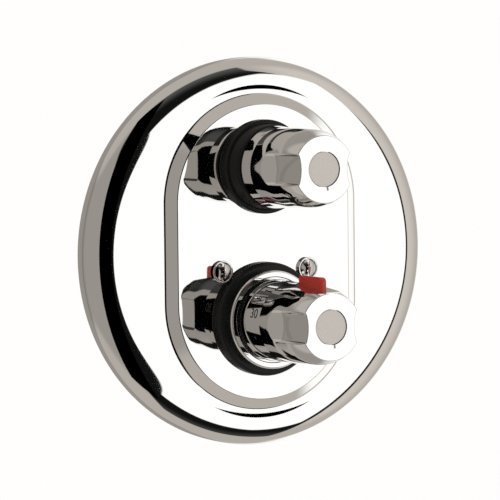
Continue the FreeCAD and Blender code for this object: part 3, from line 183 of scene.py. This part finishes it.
CHROME = principled("chrome", (0.83, 0.82, 0.81), 1.0, 0.03)
DIAL_BLACK = principled("dial_black", (0.01, 0.01, 0.01), 0.0, 0.5)
SLOT_MATERIALS = {
    "chrome_trim": CHROME,
    "black_rubber": principled("black_rubber", (0.006, 0.006, 0.006), 0.0, 0.3,
                               Specular_IOR_Level=0.22),
    "black_plastic": principled("black_plastic", (0.01, 0.01, 0.01), 0.0, 0.35,
                                Specular_IOR_Level=0.25),
    "white_plastic": principled("white_plastic", (0.80, 0.80, 0.77), 0.0, 0.4),
    "grey_cap": principled("cap_grey", (0.55, 0.51, 0.47), 0.0, 0.45),
    "red_plastic": principled("red_plastic", (0.40, 0.022, 0.012), 0.0, 0.25),
    "brass": principled("brass", (0.72, 0.53, 0.27), 1.0, 0.3),
    "copper": principled("copper", (0.80, 0.45, 0.30), 1.0, 0.3),
    "ceramic": principled("ceramic", (0.88, 0.87, 0.84), 0.0, 0.2),
    "steel": principled("steel", (0.60, 0.60, 0.60), 1.0, 0.3),
}


def paint_nodes():
    """Give each CAD node the material of its slot."""
    for part in frame["record"]["subparts"]:
        node = NODES[part["node"]]
        material = SLOT_MATERIALS[part["material_slot"]]
        if not node.data.materials:
            node.data.materials.append(material)
        for index in range(len(node.material_slots)):
            node.material_slots[index].material = material


# ---------------------------------------------------------------- helpers for pieces

def add_object(name, data):
    made = bpy.data.objects.new(name, data)
    bpy.context.scene.collection.objects.link(made)
    return made


def add_piece(name, mesh, material, body):
    """Piece of the object that rides on a body."""
    mesh.materials.clear()
    mesh.materials.append(material)
    piece = add_object(name, mesh)
    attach(piece, body)
    return piece


def smooth_mesh(name, vertices, faces):
    """Mesh from vertices in millimetres, smooth except at its sharp edges."""
    mesh = bpy.data.meshes.new(name)
    mesh.from_pydata([Vector(vertex) * MM for vertex in vertices], [], faces)
    mesh.update()
    work = bmesh.new()
    work.from_mesh(mesh)
    bmesh.ops.remove_doubles(work, verts=work.verts, dist=WELD_METRES)
    bmesh.ops.recalc_face_normals(work, faces=work.faces)
    limit = math.radians(SHARP_ANGLE)
    for edge in work.edges:
        if len(edge.link_faces) == 2:
            edge.smooth = edge.calc_face_angle() < limit
    for face in work.faces:
        face.smooth = True
    work.to_mesh(mesh)
    work.free()
    return mesh


def curve_mesh(curve):
    """Mesh of a filled curve."""
    drawn = add_object(curve.name, curve)
    bpy.context.view_layer.update()
    graph = bpy.context.evaluated_depsgraph_get()
    mesh = bpy.data.meshes.new_from_object(drawn.evaluated_get(graph))
    bpy.data.objects.remove(drawn)
    return mesh


def circle(across, rise, radius, steps):
    """Points of a circle, from its right side upwards."""
    turns = [math.tau * step / steps for step in range(steps)]
    return [(across + radius * math.cos(turn), rise + radius * math.sin(turn)) for turn in turns]


# ---------------------------------------------------------------- plate

def racetrack(radius):
    """Points of a racetrack in the plane of the plate, from the middle of the right side."""
    points = []
    for step in range(SIDE_STEPS // 2):
        points.append((radius, 2 * PLATFORM_HALF * step / SIDE_STEPS))
    for step in range(ARC_STEPS):
        angle = math.pi * step / ARC_STEPS
        points.append((radius * math.cos(angle), PLATFORM_HALF + radius * math.sin(angle)))
    for step in range(SIDE_STEPS):
        points.append((-radius, PLATFORM_HALF - 2 * PLATFORM_HALF * step / SIDE_STEPS))
    for step in range(ARC_STEPS):
        angle = math.pi + math.pi * step / ARC_STEPS
        points.append((radius * math.cos(angle), radius * math.sin(angle) - PLATFORM_HALF))
    for step in range(SIDE_STEPS // 2):
        points.append((radius, -PLATFORM_HALF + 2 * PLATFORM_HALF * step / SIDE_STEPS))
    return points


def bend_points(before, corner, after, bend):
    """Arc of radius bend in place of the corner of an outline."""
    corner = Vector(corner)
    before = (Vector(before) - corner).normalized()
    after = (Vector(after) - corner).normalized()
    half = before.angle(after) / 2
    centre = corner + (before + after).normalized() * bend / math.sin(half)
    start = corner + before * bend / math.tan(half) - centre
    turn = math.copysign(math.pi - 2 * half, start.x * after.y - start.y * after.x)
    return [tuple(centre + Matrix.Rotation(turn * step / BEND_STEPS, 2) @ start)
            for step in range(BEND_STEPS + 1)]


def rim_section(inset):
    """Points (radius, out) of the rim, set in by the inset, from the wall to the plate's face."""
    roll_centre = PLATE_RADIUS - RIM_ROLL_RUN
    section = [(PLATE_RADIUS - inset, 0.0)]
    for step in range(ROLL_STEPS + 1):
        angle = math.pi / 2 * step / ROLL_STEPS
        section.append((roll_centre + (RIM_ROLL_RUN - inset) * math.cos(angle),
                        RIM_WALL + (RIM_ROLL_RISE - inset) * math.sin(angle)))
    section.append((roll_centre - RIM_LEDGE, PLATE_FACE - inset))
    return section


def platform_section(inset):
    """Points (radius of the racetrack, out) from the plate's face up to the platform's top."""
    slope = math.atan2(PLATFORM_TOP - PLATE_FACE, PLATFORM_RUN)
    foot = PLATFORM_RADIUS - inset * math.tan(slope / 2)
    low, high = PLATE_FACE - inset, PLATFORM_TOP - inset
    start, end = (foot + PLATFORM_APRON, low), (PLATFORM_INNER, high)
    bottom, top = (foot, low), (foot - PLATFORM_RUN, high)
    section = [start] + bend_points(start, bottom, top, PLATFORM_FOOT_BEND + inset)
    if inset < PLATFORM_TOP_BEND:
        section += bend_points(bottom, top, end, PLATFORM_TOP_BEND - inset)
    else:
        section.append(top)
    return section + [end]


def plate_shell():
    """Round rim and oblong platform, as one sheet that is open in the middle."""
    angles = [math.atan2(z, x) for x, z in racetrack(PLATFORM_RADIUS)]

    def rows(inset):
        made = []
        for radius, out in rim_section(inset):
            made.append([(radius * math.cos(turn), -out, radius * math.sin(turn))
                         for turn in angles])
        for radius, out in platform_section(inset):
            made.append([(x, -out, z) for x, z in racetrack(radius)])
        return made

    rings = rows(0.0) + rows(PLATE_SHEET)[::-1]
    vertices = [vertex for ring in rings for vertex in ring]
    count = len(angles)
    faces = []
    for row in range(len(rings)):
        other = (row + 1) % len(rings)
        for index in range(count):
            after = (index + 1) % count
            faces.append((row * count + index, row * count + after,
                          other * count + after, other * count + index))
    mesh = smooth_mesh("plate_shell", vertices, faces)
    piece = add_piece("plate_shell", mesh, CHROME, "wall_assembly")
    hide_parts("escutcheon_plate")


def plate_top():
    """Flat top of the platform, with holes for the handles and the screws."""
    curve = bpy.data.curves.new("plate_top_outline", "CURVE")
    curve.dimensions = "2D"
    curve.fill_mode = "BOTH"
    curve.extrude = PLATE_SHEET / 2 * MM
    loops = [racetrack(PLATFORM_INNER)]
    for across, rise, radius in ((0.0, UPPER_Z, HANDLE_HOLE), (0.0, LOWER_Z, HANDLE_HOLE),
                                 (-SCREW_X, SCREW_Z, SCREW_HOLE), (SCREW_X, SCREW_Z, SCREW_HOLE)):
        loops.append(circle(across, rise, radius, HOLE_STEPS))
    for loop in loops:
        spline = curve.splines.new("POLY")
        spline.points.add(len(loop) - 1)
        for point, (x, z) in zip(spline.points, loop):
            point.co = (x * MM, z * MM, 0.0, 1.0)
        spline.use_cyclic_u = True
    mesh = curve_mesh(curve)
    mesh.transform(Matrix.Translation((0.0, (PLATE_SHEET / 2 - PLATFORM_TOP) * MM, 0.0))
                   @ Matrix.Rotation(math.pi / 2, 4, "X"))
    add_piece("plate_top", mesh, CHROME, "wall_assembly")


# ---------------------------------------------------------------- dial marks

def flat_mark(text):
    """Numeral or dot drawn flat about the origin, in millimetres."""
    if text:
        curve = bpy.data.curves.new("dial_text", "FONT")
        curve.body = text
        curve.size = DIAL_HEIGHT * FONT_PER_HEIGHT
        curve.align_x = "CENTER"
        curve.align_y = "CENTER"
        return curve_mesh(curve)
    mesh = bpy.data.meshes.new("dial_dot")
    ring = [(x, y, 0.0) for x, y in circle(0.0, 0.0, DIAL_DOT, DIAL_DOT_STEPS)]
    mesh.from_pydata(ring, [], [list(range(DIAL_DOT_STEPS))])
    return mesh


def on_cone(flat, turn):
    """Place on the knob's cone of a point of a flat mark, in metres."""
    along, round_way, rise = flat
    angle = math.radians(90.0 + turn) - round_way / DIAL_RADIUS
    radius = DIAL_RADIUS - DIAL_SKIN / 2 + rise - along * DIAL_TAPER
    return Vector((radius * math.cos(angle), -(DIAL_OUT + along),
                   LOWER_Z + radius * math.sin(angle))) * MM


def bend_mark(mesh, turn):
    """Cut a flat mark into strips, thicken it and lay it round the cone."""
    work = bmesh.new()
    work.from_mesh(mesh)
    for step in range(-DIAL_CUTS, DIAL_CUTS + 1):
        geometry = work.verts[:] + work.edges[:] + work.faces[:]
        bmesh.ops.bisect_plane(work, geom=geometry, plane_co=(0.0, step * DIAL_CUT, 0.0),
                               plane_no=(0.0, 1.0, 0.0))
    skin = bmesh.ops.extrude_face_region(work, geom=work.faces[:])
    for item in skin["geom"]:
        if isinstance(item, bmesh.types.BMVert):
            item.co.z = DIAL_SKIN
    bmesh.ops.recalc_face_normals(work, faces=work.faces[:])
    for vertex in work.verts:
        vertex.co = on_cone(vertex.co, turn)
    bmesh.ops.recalc_face_normals(work, faces=work.faces[:])
    work.to_mesh(mesh)
    work.free()


def dial_marks():
    """Black print, bent round the temperature handle."""
    for number, (text, turn) in enumerate(DIAL_MARKS):
        mesh = flat_mark(text)
        bend_mark(mesh, turn)
        add_piece("dial_mark_%d" % number, mesh, DIAL_BLACK, "temperature_handle")


# ---------------------------------------------------------------- camera

def camera_axes():
    """The camera's right, its up and the way back from what it looks at."""
    azimuth = math.radians(CAMERA_AZIMUTH)
    elevation = math.radians(CAMERA_ELEVATION)
    roll = math.radians(CAMERA_ROLL)
    back = Vector((math.sin(azimuth) * math.cos(elevation),
                   -math.cos(azimuth) * math.cos(elevation), math.sin(elevation)))
    level = Vector((math.cos(azimuth), math.sin(azimuth), 0.0))
    upright = back.cross(level)
    right = level * math.cos(roll) + upright * math.sin(roll)
    up = upright * math.cos(roll) - level * math.sin(roll)
    return right, up, back


def add_camera():
    right, up, back = camera_axes()
    data = bpy.data.cameras.new("camera")
    data.sensor_width = CAMERA_SENSOR
    data.sensor_fit = "HORIZONTAL"
    data.lens = CAMERA_FOCAL_PIXELS / FRAME_PIXELS * CAMERA_SENSOR
    data.clip_start = CAMERA_NEAR
    data.clip_end = CAMERA_FAR
    camera = add_object("camera", data)
    place = back * CAMERA_DISTANCE + right * CAMERA_SHIFT_RIGHT + up * CAMERA_SHIFT_UP
    turn = Matrix((right, up, back)).transposed().to_4x4()
    camera.matrix_world = Matrix.Translation(place) @ turn
    bpy.context.scene.camera = camera


# ---------------------------------------------------------------- studio

class Nodes:
    """Short way to build the studio's node tree."""

    COLOR_A, COLOR_B, COLOR_RESULT = 6, 7, 2   # colour sockets of a Mix node

    def __init__(self, tree):
        self.tree = tree

    def node(self, kind, **settings):
        made = self.tree.nodes.new(kind)
        for key, value in settings.items():
            setattr(made, key, value)
        return made

    def feed(self, socket, value):
        if isinstance(value, (int, float)):
            socket.default_value = value
        elif isinstance(value, tuple):
            socket.default_value = (*value, 1.0)
        else:
            self.tree.links.new(value, socket)

    def math(self, operation, first, second=0.0):
        made = self.node("ShaderNodeMath", operation=operation)
        self.feed(made.inputs[0], first)
        self.feed(made.inputs[1], second)
        return made.outputs[0]

    def plus(self, first, second):
        return self.math("ADD", first, second)

    def minus(self, first, second):
        return self.math("SUBTRACT", first, second)

    def times(self, first, second):
        return self.math("MULTIPLY", first, second)

    def step(self, value, low, high):
        """Soft step from 0 at low to 1 at high; low may be the greater."""
        made = self.node("ShaderNodeMapRange", interpolation_type="SMOOTHSTEP")
        self.feed(made.inputs["Value"], value)
        if low < high:
            bounds = (low, high, 0.0, 1.0)
        else:
            bounds = (high, low, 1.0, 0.0)
        for name, bound in zip(("From Min", "From Max", "To Min", "To Max"), bounds):
            made.inputs[name].default_value = bound
        return made.outputs["Result"]

    def over(self, value, edge, soft):
        """1 above the edge, 0 below it, with a change as wide as soft."""
        return self.step(value, edge - soft / 2, edge + soft / 2)

    def under(self, value, edge, soft):
        """1 below the edge, 0 above it, with a change as wide as soft."""
        return self.step(value, edge + soft / 2, edge - soft / 2)

    def mix(self, factor, first, second):
        made = self.node("ShaderNodeMix", data_type="RGBA")
        self.feed(made.inputs["Factor"], factor)
        self.feed(made.inputs[self.COLOR_A], first)
        self.feed(made.inputs[self.COLOR_B], second)
        return made.outputs[self.COLOR_RESULT]


def grey(value):
    return tuple(value * tint for tint in GREY_TINT)


def warm(value):
    return tuple(value * tint for tint in WARM_TINT)


def wall_color(nodes, azimuth, height):
    """Grey walls, brighter on the right, with a bright strip at the far right."""
    steepness = nodes.math("ABSOLUTE", height)
    left = nodes.mix(nodes.step(azimuth, *LEFT_BACK_FADE), warm(LEFT_SHADE),
                     warm(LEFT_BACK_SHADE))
    right = nodes.mix(nodes.step(azimuth, *RIGHT_BACK_FADE), warm(RIGHT_SHADE),
                      warm(RIGHT_BACK_SHADE))
    wall = nodes.mix(nodes.step(azimuth, *RIGHT_FADE), left, right)
    wall = nodes.mix(nodes.step(steepness, *STEEP_FADE), wall, warm(STEEP_SHADE))
    bright = nodes.times(nodes.step(azimuth, *BRIGHT_FADE),
                         nodes.step(steepness, *BRIGHT_HEIGHT_FADE))
    wall = nodes.mix(bright, wall, grey(BRIGHT_SHADE))
    behind = nodes.step(nodes.math("ABSOLUTE", azimuth), *BEHIND_FADE)
    return nodes.mix(behind, wall, warm(BEHIND_SHADE))


def frame_color(nodes, height):
    shade = nodes.mix(nodes.step(height, *FRAME_TOP_FADE), grey(FRAME_SHADE),
                      grey(FRAME_TOP_SHADE))
    return nodes.mix(nodes.step(height, *FRAME_BOTTOM_FADE), shade, grey(FRAME_BOTTOM_SHADE))


def frame_mask(nodes, azimuth, height):
    widening = nodes.times(nodes.step(height, *FRAME_WIDENING_RANGE), FRAME_WIDENING)
    across = nodes.minus(azimuth, widening)
    level = nodes.times(nodes.over(height, FRAME_BOTTOM, FRAME_BOTTOM_SOFT),
                        nodes.under(height, FRAME_TOP, FRAME_TOP_SOFT))
    width = nodes.times(nodes.over(across, FRAME_RIGHT, FRAME_RIGHT_SOFT),
                        nodes.under(across, FRAME_LEFT, FRAME_LEFT_SOFT))
    return nodes.times(level, width)


def block_mask(nodes, azimuth, height):
    """Sector that opens from the block's tip towards the left."""
    reach = nodes.math("MAXIMUM", nodes.minus(azimuth, BLOCK_AZIMUTH), 0.0)
    lift = nodes.minus(height, BLOCK_HEIGHT)
    upper = nodes.minus(lift, nodes.times(reach, BLOCK_RISE))
    lower = nodes.plus(lift, nodes.times(reach, BLOCK_FALL))
    return nodes.times(nodes.under(upper, 0.0, BLOCK_SOFT), nodes.over(lower, 0.0, BLOCK_SOFT))


def window_mask(nodes, azimuth, height):
    slanted = nodes.math("MAXIMUM", nodes.minus(azimuth, SLANT_START), 0.0)
    upper = nodes.plus(height, nodes.times(slanted, TOP_SLANT))
    lower = nodes.minus(height, nodes.times(slanted, BOTTOM_SLANT))
    level = nodes.times(nodes.under(upper, WINDOW_TOP, WINDOW_TOP_SOFT),
                        nodes.over(lower, WINDOW_BOTTOM, WINDOW_BOTTOM_SOFT))
    open_part = nodes.minus(1.0, block_mask(nodes, azimuth, height))
    across = nodes.minus(azimuth, nodes.times(open_part, WINDOW_WIDENING))
    width = nodes.times(nodes.over(across, WINDOW_RIGHT - WINDOW_WIDENING, WINDOW_SOFT),
                        nodes.under(across, WINDOW_LEFT, WINDOW_SOFT))
    kept = nodes.over(azimuth, WINDOW_RIGHT, WINDOW_SOFT)
    return nodes.times(nodes.times(level, width), kept)


def studio_world():
    """White round the object; chrome sees a white window in a dark frame amid grey walls."""
    world = bpy.data.worlds.new("studio")
    bpy.context.scene.world = world
    world.use_nodes = True
    # Sampled as a lamp, the world would add the white that all else sees to the reflections
    world.cycles.sampling_method = "NONE"
    nodes = Nodes(world.node_tree)
    way = nodes.node("ShaderNodeSeparateXYZ")
    nodes.feed(way.inputs[0], nodes.node("ShaderNodeTexCoord").outputs["Generated"])
    left = nodes.times(way.outputs["X"], -1.0)
    front = nodes.times(way.outputs["Y"], -1.0)
    azimuth = nodes.math("DEGREES", nodes.math("ARCTAN2", left, front))
    height = nodes.math("DEGREES", nodes.math("ARCSINE", way.outputs["Z"]))

    seen = nodes.mix(frame_mask(nodes, azimuth, height), wall_color(nodes, azimuth, height),
                     frame_color(nodes, height))
    seen = nodes.mix(window_mask(nodes, azimuth, height), seen, grey(WINDOW_WHITE))
    path = nodes.node("ShaderNodeLightPath")
    background = world.node_tree.nodes["Background"]
    nodes.feed(background.inputs["Color"],
               nodes.mix(path.outputs["Is Glossy Ray"], SURROUNDINGS, seen))
    background.inputs["Strength"].default_value = 1.0


def matt_sheet(name, corners, color):
    """Flat matt rectangle from its corners in millimetres."""
    mesh = bpy.data.meshes.new(name)
    mesh.from_pydata([Vector(corner) * MM for corner in corners], [], [(0, 1, 2, 3)])
    mesh.materials.append(principled(name, color, 0.0, 1.0, Specular_IOR_Level=0.0))
    return add_object(name, mesh)


def black_card():
    """Flag that darkens the left flanks of the handles and their images in the plate."""
    corners = [(x, -CARD_OUT, z) for x, z in ((CARD_LEFT, CARD_BOTTOM), (CARD_RIGHT, CARD_BOTTOM),
                                              (CARD_RIGHT, CARD_TOP), (CARD_LEFT, CARD_TOP))]
    card = matt_sheet("black_card", corners, (0.0, 0.0, 0.0))
    card.visible_camera = False
    card.visible_diffuse = False
    card.visible_shadow = False


def pale_floor():
    corners = [(x * FLOOR_HALF, y * FLOOR_HALF, FLOOR_HEIGHT)
               for x, y in ((-1, -1), (1, -1), (1, 1), (-1, 1))]
    floor = matt_sheet("floor", corners, (1.0, 1.0, 1.0))
    floor.visible_glossy = False


paint_nodes()
plate_shell()
plate_top()
dial_marks()
add_camera()
studio_world()
black_card()
pale_floor()

bpy.context.scene.view_settings.view_transform = "Standard"
